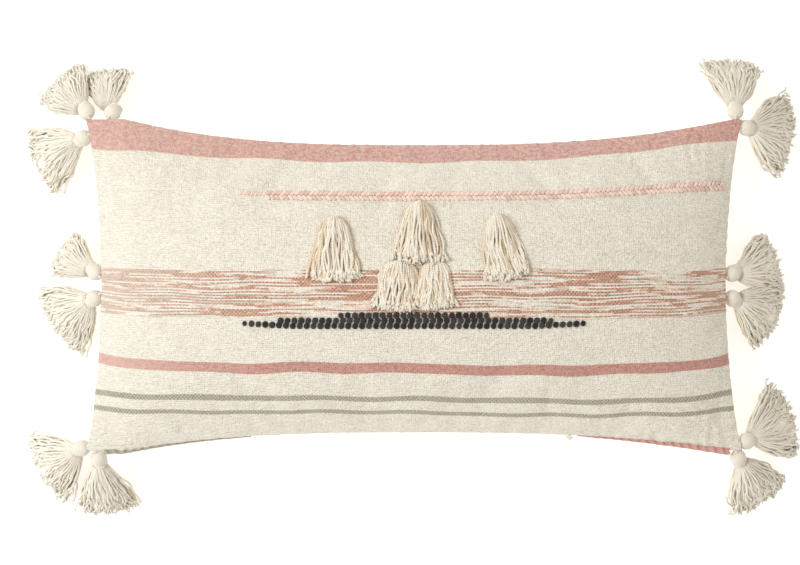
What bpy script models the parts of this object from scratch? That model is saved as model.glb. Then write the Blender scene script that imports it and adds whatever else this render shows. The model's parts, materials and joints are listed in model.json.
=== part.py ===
"""A tasselled lumbar throw pillow, lying on its back: front face up, +X along its length, +Y towards its top edge.

The cover is a front and a back panel that meet in a seam all round, with a closed-end zipper in the bottom
seam. Inside it lies an insert: a casing of two panels around a fibre fill. Raised rows of thick yarn lie on the
front panel and along the bottom seam. Tassels hang in clusters at the corners and at the middle of each end, and
five yarn tufts are stitched to the face. Everything rests on z = 0.
"""

import math

import bmesh
import bpy
from mathutils import Vector

# Overall sizes of the stuffed cover, in metres
WIDTH = 0.610
DEPTH = 0.311
SEAM_Z = 0.056
FRONT_RISE = 0.068
BACK_DROP = 0.063

# How far each edge is drawn in, half-way between its corners
PULL_TOP = 0.024
PULL_BOTTOM = 0.017
PULL_LEFT = 0.012
PULL_RIGHT = 0.013
LONG_EDGE_POWER = 3.0
SHORT_EDGE_POWER = 1.8

# Cloth and clearances
CLEARANCE = 0.0003
COVER_CLOTH = 0.0012
CASING_CLOTH = 0.0005
INSERT_EASE = 0.0031
SEAM_GAP = 0.0003

# Zipper
ZIP_HALF_LENGTH = 0.160
ZIP_SLOT_PLAY = 0.0017
ZIP_SLOT = 0.0022
ZIP_END_PLAY = 0.014
COIL_SIZE = 0.0014
TAPE_WIDTH = 0.0105
TAPE_THICK = 0.0006
SLIDER_LENGTH = 0.009
SLIDER_WALL = 0.0008
EYE_HALF = 0.0017
EYE_HOLE_HALF = 0.0008
PULL_BAR_HALF = 0.00045
PULL_HALF_WIDTH = 0.0032
PULL_RING = 0.0050
PULL_LENGTH = 0.022

# Raised yarn rows on the face, with Y measured from the middle of the face
BLUSH_Y = 0.0802
BLUSH_WIDTH = 0.0053
BLUSH_START_X = -0.162
BLACK_Y = -0.0325
BLACK_WIDTH = 0.0136
BLACK_HALF_LENGTH = 0.1617
ROW_HEIGHT = 0.0018

# Yarn rows along the bottom seam: grey at the left, rose at the right
EDGE_ROW_TO_ZIP = 0.011
EDGE_ROW_TO_CORNER = 0.023
EDGE_ROW_THIN = 0.0008
GREY_ROW_THICK = 0.0021
ROSE_ROW_THICK = 0.0027

# Tassels
LOOP_RADIUS = 0.0011
LOOP_START = 0.0010
LOOP_LENGTH = 0.0022
HEAD_RADIUS = 0.0085
SKIRT_ROOT = 0.0045
SKIRT_THICK = 0.0080
FLOOR_GAP = 0.0004

# Yarn tufts on the face
TUFT_PIVOT_HEIGHT = 0.0022
TUFT_TOP_RADIUS = 0.0016
TUFT_THICK = 0.0090

# Tassels: name, edge, the end of the edge that they hang near (-1 low, 0 middle, 1 high), distance in head radii
# from that end, or from the middle towards +X or +Y, heading in degrees, skirt length, half width
TASSELS = (
    ("top_left_up", "top", -1, 0.12, 117, 0.056, 0.0220),
    ("top_left_side", "left", 1, 1.53, 209, 0.057, 0.0230),
    ("top_left_back", "top", -1, 1.88, 62, 0.050, 0.0190),
    ("left_upper", "left", 0, 0.77, 140, 0.056, 0.0230),
    ("left_lower", "left", 0, -0.82, 217, 0.060, 0.0250),
    ("bottom_left_side", "left", -1, 0.65, 203, 0.058, 0.0260),
    ("bottom_left_down", "bottom", -1, 0.77, 283, 0.056, 0.0230),
    ("top_right_up", "top", 1, 0.41, 84, 0.055, 0.0220),
    ("top_right_side", "right", 1, 0.77, 352, 0.057, 0.0250),
    ("right_upper", "right", 0, 0.71, 32, 0.057, 0.0240),
    ("right_lower", "right", 0, -0.94, 328, 0.058, 0.0240),
    ("bottom_right_side", "right", -1, 0.77, 13, 0.058, 0.0250),
    ("bottom_right_down", "bottom", 1, 0.41, 293, 0.056, 0.0230),
)

# Face tufts: name, X of the stitch, the row they line up with, the gap from it to the stitch (below the blush
# row) or to the hem (above the black band), heading in degrees, length, half width at the hem
TUFTS = (
    ("left", -0.0728, "blush", 0.0169, 270, 0.058, 0.0250),
    ("centre", 0.0040, "blush", 0.0031, 269, 0.050, 0.0255),
    ("right", 0.0738, "blush", 0.0151, 280, 0.059, 0.0215),
    ("lower_left", -0.0130, "black", 0.0032, 265, 0.043, 0.0175),
    ("lower_right", 0.0175, "black", 0.0042, 272, 0.042, 0.0145),
)

# Grid lines of the panels, as shares of the half width and half depth, which the rows' own lines join
FINE_U = (0.0, 0.13, 0.27, 0.40, 0.53, 0.66, 0.78, 0.88, 0.95, 0.985, 1.0)
FINE_V = (-1.0, -0.97, -0.87, -0.70, -0.50, -0.37, -0.24, -0.05, 0.12, 0.30, 0.46, 0.61, 0.76, 0.88, 0.97, 1.0)
COARSE_U = (0.0, 0.27, 0.53, 0.78, 0.93, 1.0)
COARSE_V = (-1.0, -0.87, -0.60, -0.30, 0.0, 0.30, 0.60, 0.87, 1.0)
LINE_SPACING = 0.05

CREAM = (0.80, 0.74, 0.62)
ROSE = (0.60, 0.33, 0.26)
BLUSH = (0.78, 0.58, 0.48)
GREY = (0.42, 0.40, 0.34)
BLACK = (0.02, 0.02, 0.02)
CALICO = (0.86, 0.85, 0.82)
PAINTED_METAL = (0.78, 0.72, 0.62)


def clear_scene():
    for obj in list(bpy.data.objects):
        bpy.data.objects.remove(obj, do_unlink=True)


def material(name, colour, roughness=0.9, metallic=0.0):
    made = bpy.data.materials.get(name)
    if made is None:
        made = bpy.data.materials.new(name)
        made.use_nodes = True
        shader = made.node_tree.nodes["Principled BSDF"]
        shader.inputs["Base Color"].default_value = (*colour, 1.0)
        shader.inputs["Roughness"].default_value = roughness
        shader.inputs["Metallic"].default_value = metallic
    return made


def new_object(name, points, faces, colour, roughness=0.9, metallic=0.0, origin=(0, 0, 0)):
    """A closed mesh object. Its points are world coordinates, and its origin is moved to `origin`."""
    origin = Vector(origin)
    mesh = bpy.data.meshes.new(name)
    mesh.from_pydata([Vector(p) - origin for p in points], [], faces)
    shape = bmesh.new()
    shape.from_mesh(mesh)
    bmesh.ops.recalc_face_normals(shape, faces=shape.faces)
    shape.to_mesh(mesh)
    shape.free()
    mesh.materials.append(material(name + "_finish", colour, roughness, metallic))
    mesh.shade_smooth()
    mesh.set_sharp_from_angle(angle=math.radians(40))
    obj = bpy.data.objects.new(name, mesh)
    obj.location = origin
    bpy.context.scene.collection.objects.link(obj)
    return obj


# The shape of the stuffed cover


def mirrored(half):
    return tuple(-value for value in reversed(half[1:])) + half


def with_lines(regular, exact):
    """The regular grid lines and the exact ones, without the inner regular lines that lie too near an exact one."""
    kept = [line for line in regular if abs(line) == 1 or line == 0 or
            all(abs(line - other) > LINE_SPACING for other in exact)]
    return tuple(sorted({*kept, *exact}))


def blush_lines():
    half = DEPTH / 2 - PULL_TOP
    return (BLUSH_Y - BLUSH_WIDTH / 2) / half, (BLUSH_Y + BLUSH_WIDTH / 2) / half


def black_lines():
    half = DEPTH / 2 - PULL_BOTTOM
    return (BLACK_Y - BLACK_WIDTH / 2) / half, (BLACK_Y + BLACK_WIDTH / 2) / half


def zip_slot_line():
    return (ZIP_HALF_LENGTH + ZIP_SLOT_PLAY) / (WIDTH / 2)


def cover_us():
    return mirrored(with_lines(FINE_U, {zip_slot_line(), BLACK_HALF_LENGTH / (WIDTH / 2)}))


def cover_vs():
    return with_lines(FINE_V, {*blush_lines(), *black_lines()})


def outline(u, v, inset=0.0):
    """X and Y of the place (u, v), each from -1 to 1 between the seams, on a cover that is `inset` smaller."""
    pull_end = PULL_RIGHT if u > 0 else PULL_LEFT
    pull_side = PULL_TOP if v > 0 else PULL_BOTTOM
    half_x = WIDTH / 2 - inset - pull_end * (1 - abs(v) ** SHORT_EDGE_POWER)
    half_y = DEPTH / 2 - inset - pull_side * (1 - abs(u) ** LONG_EDGE_POWER)
    return u * half_x, v * half_y


def puff(u, v):
    """The share of the full height at (u, v): 1 in the middle, 0 at the seam."""
    along = max(0.0, 1 - abs(u) ** 3) ** 0.65
    across = max(0.0, 1 - v * v) ** 0.6
    return along * across


def place_of(x, y):
    """The (u, v) whose outline point is (x, y)."""
    u, v = x / (WIDTH / 2), y / (DEPTH / 2)
    for _ in range(12):
        at_x, at_y = outline(u, v)
        u += (x - at_x) / (WIDTH / 2)
        v += (y - at_y) / (DEPTH / 2)
    return u, v


def face_height(x, y):
    return SEAM_Z + SEAM_GAP / 2 + (FRONT_RISE - SEAM_GAP / 2) * puff(*place_of(x, y))


def seam_lift(u, v):
    """Half the gap between the panels' rims at (u, v), which is wider along the zipper."""
    in_zip = v == -1.0 and abs(u) <= zip_slot_line()
    return ZIP_SLOT / 2 if in_zip else SEAM_GAP / 2


def surface_point(u, v, side, cloth_in, margin, lift):
    """A point of a panel: `side` is 1 for the front and -1 for the back, `cloth_in` is how far it lies inside
    the cover's outer surface, and `margin` is how much smaller its outline is."""
    x, y = outline(u, v, margin)
    rise = FRONT_RISE if side > 0 else BACK_DROP
    z = SEAM_Z + side * (lift + (rise - cloth_in - lift) * puff(u, v))
    return x, y, max(z, cloth_in)


def border(columns, rows):
    """Grid places round the edge, in order."""
    places = [(i, 0) for i in range(columns)]
    places += [(columns - 1, j) for j in range(1, rows)]
    places += [(i, rows - 1) for i in range(columns - 2, -1, -1)]
    places += [(0, j) for j in range(rows - 2, 0, -1)]
    return places


def grid_faces(columns, rows, first=0):
    faces = []
    for j in range(rows - 1):
        for i in range(columns - 1):
            a = first + j * columns + i
            faces.append((a, a + 1, a + columns + 1))
            faces.append((a, a + columns + 1, a + columns))
    return faces


def panel(name, us, vs, side, outer, inner, colour, zip_slot=False):
    """An open shell between two nested surfaces, closed by a flat band at its rim. `outer` and `inner` are each
    (cloth_in, margin)."""
    columns, rows = len(us), len(vs)
    points = []
    for cloth_in, margin in (outer, inner):
        for v in vs:
            for u in us:
                lift = seam_lift(u, v) if zip_slot else SEAM_GAP / 2
                points.append(surface_point(u, v, side, cloth_in, margin, lift))
    below = columns * rows
    faces = grid_faces(columns, rows)
    faces += [tuple(reversed(face)) for face in grid_faces(columns, rows, below)]
    rim = [j * columns + i for i, j in border(columns, rows)]
    for a, b in zip(rim, rim[1:] + rim[:1]):
        faces.append((a, a + below, b + below))
        faces.append((a, b + below, b))
    return new_object(name, points, faces, colour)


def make_cover():
    us, vs = cover_us(), cover_vs()
    inside = (COVER_CLOTH, COVER_CLOTH)
    panel("front_panel", us, vs, 1, (0.0, 0.0), inside, CREAM, zip_slot=True)
    panel("back_panel", us, vs, -1, (0.0, 0.0), inside, CREAM, zip_slot=True)


def make_insert():
    us = mirrored(COARSE_U)
    skin = COVER_CLOTH + CLEARANCE
    margin = zip_depth() + COIL_SIZE / 2 + TAPE_WIDTH + INSERT_EASE
    outer = (skin, margin)
    inner = (skin + CASING_CLOTH, margin + CASING_CLOTH)
    panel("insert_casing_front", us, COARSE_V, 1, outer, inner, CALICO)
    panel("insert_casing_back", us, COARSE_V, -1, outer, inner, CALICO)
    make_fill(us, inner[0] + CLEARANCE, inner[1] + CLEARANCE)


def make_fill(us, cloth_in, margin):
    columns, rows = len(us), len(COARSE_V)
    points = []
    for side in (1, -1):
        for v in COARSE_V:
            for u in us:
                points.append(surface_point(u, v, side, cloth_in, margin, SEAM_GAP / 2))
    below = columns * rows
    faces = grid_faces(columns, rows)
    faces += [tuple(reversed(face)) for face in grid_faces(columns, rows, below)]
    rim = [j * columns + i for i, j in border(columns, rows)]
    for a, b in zip(rim, rim[1:] + rim[:1]):
        faces.append((a, a + below, b + below))
        faces.append((a, b + below, b))
    new_object("fibre_fill", points, faces, CALICO)


# Boxes and tubes


def box_points(low, high):
    return [(x, y, z) for z in (low[2], high[2]) for y in (low[1], high[1]) for x in (low[0], high[0])]


BOX_FACES = ((0, 2, 3, 1), (4, 5, 7, 6), (0, 1, 5, 4), (1, 3, 7, 5), (3, 2, 6, 7), (2, 0, 4, 6))


def box(name, low, high, colour, origin=(0, 0, 0)):
    return new_object(name, box_points(low, high), BOX_FACES, colour, 0.35, 0.2, origin)


def combine(target, operation, low, high):
    """Unites a box with the target, or cuts it from it, and applies the result."""
    tool = new_object("tool", box_points(low, high), BOX_FACES, CREAM)
    modifier = target.modifiers.new("combine", "BOOLEAN")
    modifier.operation = operation
    modifier.object = tool
    bpy.context.view_layer.update()
    graph = bpy.context.evaluated_depsgraph_get()
    result = bpy.data.meshes.new_from_object(target.evaluated_get(graph))
    target.modifiers.remove(modifier)
    target.data = result
    bpy.data.objects.remove(tool, do_unlink=True)


def rings_to_object(name, rings, colour, origin=(0, 0, 0), roughness=0.9):
    """A closed skin over rings of equal point counts, with both ends filled."""
    count = len(rings[0])
    points = [point for ring in rings for point in ring]
    faces = []
    for r in range(len(rings) - 1):
        for k in range(count):
            a = r * count + k
            b = r * count + (k + 1) % count
            faces.append((a, b, b + count))
            faces.append((a, b + count, a + count))
    last = (len(rings) - 1) * count
    faces.append(tuple(reversed(range(count))))
    faces.append(tuple(range(last, last + count)))
    return new_object(name, points, faces, colour, roughness, origin=origin)


# Raised rows


def raised_row(name, reach, lines, fill, colour):
    """A ridge on the front panel along its grid lines. `reach` gives the first and last u, `lines` the lower and
    upper v line, and `fill` is a function of u for the share of the band that the ridge fills."""
    low_v, high_v = lines
    rings = []
    for u in cover_us():
        if not reach[0] <= u <= reach[1]:
            continue
        low = Vector(surface_point(u, low_v, 1, 0.0, 0.0, SEAM_GAP / 2))
        high = Vector(surface_point(u, high_v, 1, 0.0, 0.0, SEAM_GAP / 2))
        half = fill(u) / 2
        start, end = low.lerp(high, 0.5 - half), low.lerp(high, 0.5 + half)
        up = Vector((0, 0, 1))
        ring = [start + up * CLEARANCE, end + up * CLEARANCE]
        ring += [end + up * ROW_HEIGHT * 0.7, start.lerp(end, 0.5) + up * ROW_HEIGHT, start + up * ROW_HEIGHT * 0.7]
        rings.append(ring)
    return rings_to_object(name, rings, colour)


def blush_fill(_):
    return 0.95


def black_fill(u):
    return 0.30 + 0.65 * (1 - (u * WIDTH / 2 / BLACK_HALF_LENGTH) ** 2)


def edge_row(name, first_u, last_u, first_radius, last_radius, colour):
    """A tapered twist of yarn just outside the bottom seam."""
    steps, sides = 8, 6
    rings = []
    for step in range(steps + 1):
        share = step / steps
        u = first_u + (last_u - first_u) * share
        radius = first_radius + (last_radius - first_radius) * share
        x, y = outline(u, -1.0)
        centre = Vector((x, y - radius - 2 * CLEARANCE, SEAM_Z))
        rings.append([
            centre + radius * Vector((0, math.cos(turn), math.sin(turn)))
            for turn in (2 * math.pi * k / sides for k in range(sides))
        ])
    return rings_to_object(name, rings, colour)


def make_rows():
    black_u = BLACK_HALF_LENGTH / (WIDTH / 2)
    raised_row("blush_yarn_row", (BLUSH_START_X / (WIDTH / 2), 0.99), blush_lines(), blush_fill, BLUSH)
    raised_row("black_yarn_band", (-black_u, black_u), black_lines(), black_fill, BLACK)
    near = (ZIP_HALF_LENGTH + EDGE_ROW_TO_ZIP) / (WIDTH / 2)
    far = (WIDTH / 2 - EDGE_ROW_TO_CORNER) / (WIDTH / 2)
    edge_row("grey_edge_row", -far, -near, GREY_ROW_THICK, EDGE_ROW_THIN, GREY)
    edge_row("rose_edge_row", near, far, EDGE_ROW_THIN, ROSE_ROW_THICK, ROSE)


# Zipper


def zip_depth():
    """How far inside the bottom seam, at its innermost place, the zipper's coils begin."""
    return COVER_CLOTH + 3 * CLEARANCE + SLIDER_WALL + CLEARANCE


def zip_line():
    """Y of the outer side of the zipper's coils."""
    return zip_depth() - (DEPTH / 2 - PULL_BOTTOM)


def make_zip_tapes():
    line = zip_line()
    for name, side in (("zip_tape_front", 1), ("zip_tape_back", -1)):
        coil_z = sorted((SEAM_Z + side * CLEARANCE / 2, SEAM_Z + side * COIL_SIZE))
        tape_z = sorted((SEAM_Z + side * CLEARANCE, SEAM_Z + side * (CLEARANCE + TAPE_THICK)))
        low = (-ZIP_HALF_LENGTH, line, coil_z[0])
        high = (ZIP_HALF_LENGTH, line + COIL_SIZE, coil_z[1])
        tape = box(name, low, high, CREAM)
        low = (-ZIP_HALF_LENGTH, line + COIL_SIZE / 2, tape_z[0])
        high = (ZIP_HALF_LENGTH, line + COIL_SIZE / 2 + TAPE_WIDTH, tape_z[1])
        combine(tape, "UNION", low, high)


def slider_x():
    return ZIP_HALF_LENGTH - ZIP_END_PLAY


def pull_pivot():
    """The eye's centre, outside the bottom seam at its outermost place along the zipper."""
    share = ZIP_HALF_LENGTH / (WIDTH / 2)
    rim = -(DEPTH / 2 - PULL_BOTTOM * (1 - share ** LONG_EDGE_POWER))
    return Vector((slider_x(), rim - EYE_HALF - 2 * CLEARANCE, SEAM_Z))


def make_zip_slider():
    line = zip_line()
    centre = slider_x()
    half = SLIDER_LENGTH / 2
    channel = COIL_SIZE + CLEARANCE
    outer = line - CLEARANCE - SLIDER_WALL
    depth = COIL_SIZE + 0.0016
    low = (centre - half, outer, SEAM_Z - channel - SLIDER_WALL)
    high = (centre + half, outer + SLIDER_WALL + depth, SEAM_Z + channel + SLIDER_WALL)
    slider = box("zip_slider", low, high, PAINTED_METAL, origin=(centre, outer, SEAM_Z))
    low = (centre - SLIDER_LENGTH, outer + SLIDER_WALL, SEAM_Z - channel)
    high = (centre + SLIDER_LENGTH, outer + SLIDER_WALL + 2 * depth, SEAM_Z + channel)
    combine(slider, "DIFFERENCE", low, high)
    pivot = pull_pivot()
    neck = ZIP_SLOT / 2 - CLEARANCE - 0.0001
    low = (centre - EYE_HALF * 0.9, pivot.y + EYE_HALF / 2, SEAM_Z - neck)
    high = (centre + EYE_HALF * 0.9, outer + SLIDER_WALL / 2, SEAM_Z + neck)
    combine(slider, "UNION", low, high)
    reach = Vector((EYE_HALF * 0.9, EYE_HALF, EYE_HALF))
    combine(slider, "UNION", pivot - reach, pivot + reach)
    hole = Vector((2 * EYE_HALF, EYE_HOLE_HALF, EYE_HOLE_HALF))
    combine(slider, "DIFFERENCE", pivot - hole, pivot + hole)


def make_zip_pull():
    """A flat tab on a ring whose bar passes through the slider's eye. It hangs straight down."""
    pivot = pull_pivot()
    bar = PULL_BAR_HALF
    reach = Vector((PULL_HALF_WIDTH, bar, bar))
    pull = box("zip_pull", pivot - reach, pivot + reach, PAINTED_METAL, origin=pivot)
    for side in (-1, 1):
        near, far = sorted((side * (PULL_HALF_WIDTH - 2 * bar), side * PULL_HALF_WIDTH))
        low = pivot + Vector((near, -bar, -PULL_RING))
        high = pivot + Vector((far, bar, bar))
        combine(pull, "UNION", low, high)
    low = pivot + Vector((-PULL_HALF_WIDTH, -bar, -PULL_LENGTH))
    high = pivot + Vector((PULL_HALF_WIDTH, bar, -PULL_RING + bar))
    combine(pull, "UNION", low, high)


# Tassels


def edge_point(edge, end, radii):
    """The seam point on an edge, `radii` head radii inwards from the given end or up from the middle."""
    half = WIDTH / 2 if edge in ("top", "bottom") else DEPTH / 2
    offset = radii * HEAD_RADIUS / half
    along = end * (1 - offset) if end else offset
    if edge in ("top", "bottom"):
        x, y = outline(along, 1.0 if edge == "top" else -1.0)
    else:
        x, y = outline(1.0 if edge == "right" else -1.0, along)
    return Vector((x, y, SEAM_Z))


def droop(reach, half_thick):
    """The slope at which a tassel that is `reach` long comes to rest on the ground, in radians."""
    fall = SEAM_Z - FLOOR_GAP
    return math.asin(fall / math.hypot(reach, half_thick)) - math.atan2(half_thick, reach)


def make_tassel(name, anchor, heading, skirt_length, half_width):
    head_at = LOOP_START + LOOP_LENGTH + CLEARANCE + HEAD_RADIUS
    skirt_at = head_at + HEAD_RADIUS + CLEARANCE
    stations = (
        (0.00, SKIRT_ROOT, SKIRT_ROOT),
        (0.16, SKIRT_ROOT + 0.22 * (half_width - SKIRT_ROOT), SKIRT_THICK * 0.85),
        (0.50, SKIRT_ROOT + 0.65 * (half_width - SKIRT_ROOT), SKIRT_THICK),
        (0.82, half_width, SKIRT_THICK * 0.95),
        (1.00, half_width * 0.88, SKIRT_THICK * 0.60),
    )
    slope = droop(skirt_at + skirt_length, stations[-1][2])
    turn = math.radians(heading)
    outward = Vector((math.cos(turn), math.sin(turn), 0.0))
    along_axis = outward * math.cos(slope) - Vector((0, 0, math.sin(slope)))
    side = Vector((-math.sin(turn), math.cos(turn), 0.0))
    over = along_axis.cross(side)

    def ring(distance, wide, thick, sides):
        centre = anchor + along_axis * distance
        return [
            centre + side * wide * math.cos(t) + over * thick * math.sin(t)
            for t in (2 * math.pi * k / sides for k in range(sides))
        ]

    loop = [ring(LOOP_START + step, LOOP_RADIUS, LOOP_RADIUS, 6) for step in (0.0, LOOP_LENGTH)]
    rings_to_object(name + "_loop", loop, CREAM, origin=anchor)
    head = []
    for step in range(6):
        angle = math.pi * (step + 0.5) / 6
        radius = HEAD_RADIUS * math.sin(angle)
        head.append(ring(head_at - HEAD_RADIUS * math.cos(angle), radius, radius, 10))
    rings_to_object(name + "_head", head, CREAM, origin=anchor)
    skirt = [ring(skirt_at + share * skirt_length, wide, thick, 10) for share, wide, thick in stations]
    rings_to_object(name + "_skirt", skirt, CREAM, origin=anchor)


def make_tassels():
    for name, edge, end, radii, heading, skirt_length, half_width in TASSELS:
        make_tassel("tassel_" + name, edge_point(edge, end, radii), heading, skirt_length, half_width)


# Face tufts


def make_tuft(name, x, y, heading, length, half_width):
    """A bundle of yarn that lies on the face below its stitch, in rings across its length."""
    turn = math.radians(heading)
    ahead = Vector((math.cos(turn), math.sin(turn), 0.0))
    side = Vector((-math.sin(turn), math.cos(turn), 0.0))
    stitch = Vector((x, y, face_height(x, y) + TUFT_PIVOT_HEIGHT))
    rings = [[
        stitch + side * TUFT_TOP_RADIUS * math.cos(t) + Vector((0, 0, TUFT_TOP_RADIUS * math.sin(t)))
        for t in (2 * math.pi * k / 8 for k in range(8))
    ]]
    profile = ((0.12, 0.28, 0.55), (0.35, 0.55, 0.90), (0.60, 0.78, 1.00), (0.85, 1.00, 0.90), (1.00, 0.95, 0.45))
    across = ((1.0, 0.35), (0.6, 0.85), (0.0, 1.0), (-0.6, 0.85), (-1.0, 0.35), (-0.7, 0.0), (0.0, 0.0), (0.7, 0.0))
    for share, wide, thick in profile:
        ring = []
        for sideways, height in across:
            spot = stitch + ahead * length * share + side * half_width * wide * sideways
            base = face_height(spot.x, spot.y) + CLEARANCE + 0.0001
            ring.append(Vector((spot.x, spot.y, base + height * thick * TUFT_THICK)))
        rings.append(ring)
    rings_to_object("tuft_" + name, rings, CREAM, origin=stitch)


def stitch_y(row, gap, length):
    if row == "blush":
        return BLUSH_Y - BLUSH_WIDTH / 2 - gap
    return BLACK_Y + BLACK_WIDTH / 2 + gap + length


def make_tufts():
    for name, x, row, gap, heading, length, half_width in TUFTS:
        make_tuft(name, x, stitch_y(row, gap, length), heading, length, half_width)


clear_scene()
make_cover()
make_insert()
make_rows()
make_zip_tapes()
make_zip_slider()
make_zip_pull()
make_tassels()
make_tufts()
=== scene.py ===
"""The looks of a tasselled lumbar throw pillow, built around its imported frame.

Lengths are in metres. The pillow lies on its back: +X runs along it, +Y towards its top edge, and its face
looks up. Sizes and places come from the frame's nodes and joints.
"""

import json
import math

import bpy
import numpy as np
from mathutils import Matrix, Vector
from mathutils.bvhtree import BVHTree


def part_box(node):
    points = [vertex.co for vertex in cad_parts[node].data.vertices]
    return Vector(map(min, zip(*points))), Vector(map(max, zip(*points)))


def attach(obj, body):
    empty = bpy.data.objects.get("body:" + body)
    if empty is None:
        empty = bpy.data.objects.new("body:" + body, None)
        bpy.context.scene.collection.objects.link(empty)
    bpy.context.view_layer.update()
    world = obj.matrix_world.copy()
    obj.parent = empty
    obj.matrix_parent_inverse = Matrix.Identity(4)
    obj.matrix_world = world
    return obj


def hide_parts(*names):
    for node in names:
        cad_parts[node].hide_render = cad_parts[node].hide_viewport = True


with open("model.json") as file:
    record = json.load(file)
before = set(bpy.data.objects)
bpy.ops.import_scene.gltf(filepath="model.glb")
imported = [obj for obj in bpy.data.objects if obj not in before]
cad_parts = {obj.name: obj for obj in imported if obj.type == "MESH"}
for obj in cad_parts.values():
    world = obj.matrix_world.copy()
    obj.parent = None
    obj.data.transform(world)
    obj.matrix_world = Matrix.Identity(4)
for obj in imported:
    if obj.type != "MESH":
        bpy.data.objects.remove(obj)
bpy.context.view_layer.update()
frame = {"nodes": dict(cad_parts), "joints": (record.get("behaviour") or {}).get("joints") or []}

GOLDEN = 0.6180339887


# The cover's sizes, read from the frame


def node_points(name):
    mesh = frame["nodes"][name].data
    return np.array([vertex.co for vertex in mesh.vertices], float).reshape(-1, 3)


front_points = node_points("front_panel")
back_points = node_points("back_panel")
HALF_X = front_points[:, 0].max()
HALF_Y = front_points[:, 1].max()
TOP_Z = front_points[:, 2].max()
FLOOR_Z = back_points[:, 2].min()
SEAM_Z = (front_points[:, 2].min() + back_points[:, 2].max()) / 2


def middle_reach(axis, sign):
    """How far the cover reaches along an axis, half-way along that edge."""
    middle = front_points[np.abs(front_points[:, 1 - axis]) < HALF_Y / 15]
    return (sign * middle[:, axis]).max()


PULL_RIGHT = HALF_X - middle_reach(0, 1)
PULL_LEFT = HALF_X - middle_reach(0, -1)
PULL_TOP = HALF_Y - middle_reach(1, 1)
PULL_BOTTOM = HALF_Y - middle_reach(1, -1)
ZIP_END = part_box("zip_tape_front")[1].x

# The stuffed form: how the edges draw in, and how the height falls to the seam
SHOULDER_LEFT = 0.885
SHOULDER_RIGHT = 0.97
LONG_EDGE_POWER = 2.8
SHORT_EDGE_POWER = 1.8
CORNER_REACH = 0.003
CORNER_POWER = 8
END_POWER = 3.0
END_FALL = 0.65
SIDE_FALL = 0.60

# Cloth
COVER_CLOTH = 0.0012
SEAM_GAP = 0.0003
ZIP_SLOT = 0.0022
SEAM_TUCK = 0.0005
FLOOR_GAP = 0.0002
AT_EDGE = 0.999
COLUMNS = 121
ROWS = 73
EDGE_CROWDING = 0.85

# The seam's puckers, which fade in from the seam and out up the cover, and the cloth's fine unevenness
PUCKER_PITCH = 0.013
PUCKER_DEPTH = 0.0011
PUCKER_IN = 0.003
PUCKER_OUT = 0.016
UNEVEN_DEPTH = 0.00022
UNEVEN_WAVE = 0.014

# Simulation of the stuffed cover
SIM_FRAMES = 20
SIM_PRESSURE = 4.0
SIM_EASE = 0.020
SIM_CLOTH = {
    "quality": 4, "mass": 0.0004,
    "tension_stiffness": 12, "compression_stiffness": 12, "shear_stiffness": 4, "bending_stiffness": 0.02,
    "vertex_group_mass": "seam", "shrink_min": -SIM_EASE, "shrink_max": -SIM_EASE,
    "use_pressure": True, "uniform_pressure_force": SIM_PRESSURE,
}
SIM_START_NOISE = 0.0009
SIM_START_WAVE = 0.075
SIM_CAP = 0.006
SIM_FREE_HEIGHT = 0.012
SIM_START_HEIGHT = 0.955


def ripple(x, y, wavelength, seed, waves=9):
    """Smooth seeded unevenness between about -1 and 1, with features about `wavelength` across."""
    draw = np.random.default_rng(seed)
    total = np.zeros(np.shape(x))
    for _ in range(waves):
        turn = draw.uniform(0, 2 * math.pi)
        length = wavelength * draw.uniform(0.7, 1.5)
        phase = draw.uniform(0, 2 * math.pi)
        total = total + np.sin((x * math.cos(turn) + y * math.sin(turn)) * 2 * math.pi / length + phase)
    return total / math.sqrt(waves)


def linked(name, data):
    """A new object in the scene."""
    made = bpy.data.objects.new(name, data)
    bpy.context.scene.collection.objects.link(made)
    return made


# The stuffed cover's form


def outline(u, v):
    """X and Y of the places (u, v), each from -1 to 1 between the seams."""
    end = np.where(u > 0, PULL_RIGHT, PULL_LEFT)
    side = np.where(v > 0, PULL_TOP, PULL_BOTTOM)
    shoulder = np.where(u > 0, SHOULDER_RIGHT, SHOULDER_LEFT)
    drawn = np.clip(1 - (np.abs(u) / shoulder) ** LONG_EDGE_POWER, 0, 1)
    corner = CORNER_REACH * np.abs(u) ** CORNER_POWER * np.abs(v) ** CORNER_POWER
    x = u * (HALF_X + corner - end * (1 - np.abs(v) ** SHORT_EDGE_POWER))
    return x, v * (HALF_Y - side * drawn)


def puff(u, v):
    """The share of the full height at (u, v)."""
    along = np.clip(1 - np.abs(u) ** END_POWER, 0, 1) ** END_FALL
    across = np.clip(1 - v * v, 0, 1) ** SIDE_FALL
    return along * across


def crowded(count):
    """Grid lines from -1 to 1, closer together towards the ends."""
    even = np.linspace(-1, 1, count)
    return (1 - EDGE_CROWDING) * even + EDGE_CROWDING * np.sin(even * math.pi / 2)


def start_form(side):
    """The points of one panel before the cloth settles, as rows of points from the bottom edge to the top."""
    u, v = np.meshgrid(crowded(COLUMNS), crowded(ROWS))
    x, y = outline(u, v)
    rise = TOP_Z - SEAM_Z if side > 0 else SEAM_Z - FLOOR_Z
    share = puff(u, v)
    noise = SIM_START_NOISE * ripple(x, y, SIM_START_WAVE, 11 + side) * np.minimum(1, 3 * share)
    return np.stack([x, y, SEAM_Z + side * (rise * SIM_START_HEIGHT * share + noise)], axis=2)


def grid_quads(rows, columns, first=0):
    index = first + np.arange(rows * columns).reshape(rows, columns)
    corners = (index[:-1, :-1], index[:-1, 1:], index[1:, 1:], index[1:, :-1])
    return np.stack([corner.ravel() for corner in corners], axis=1)


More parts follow.
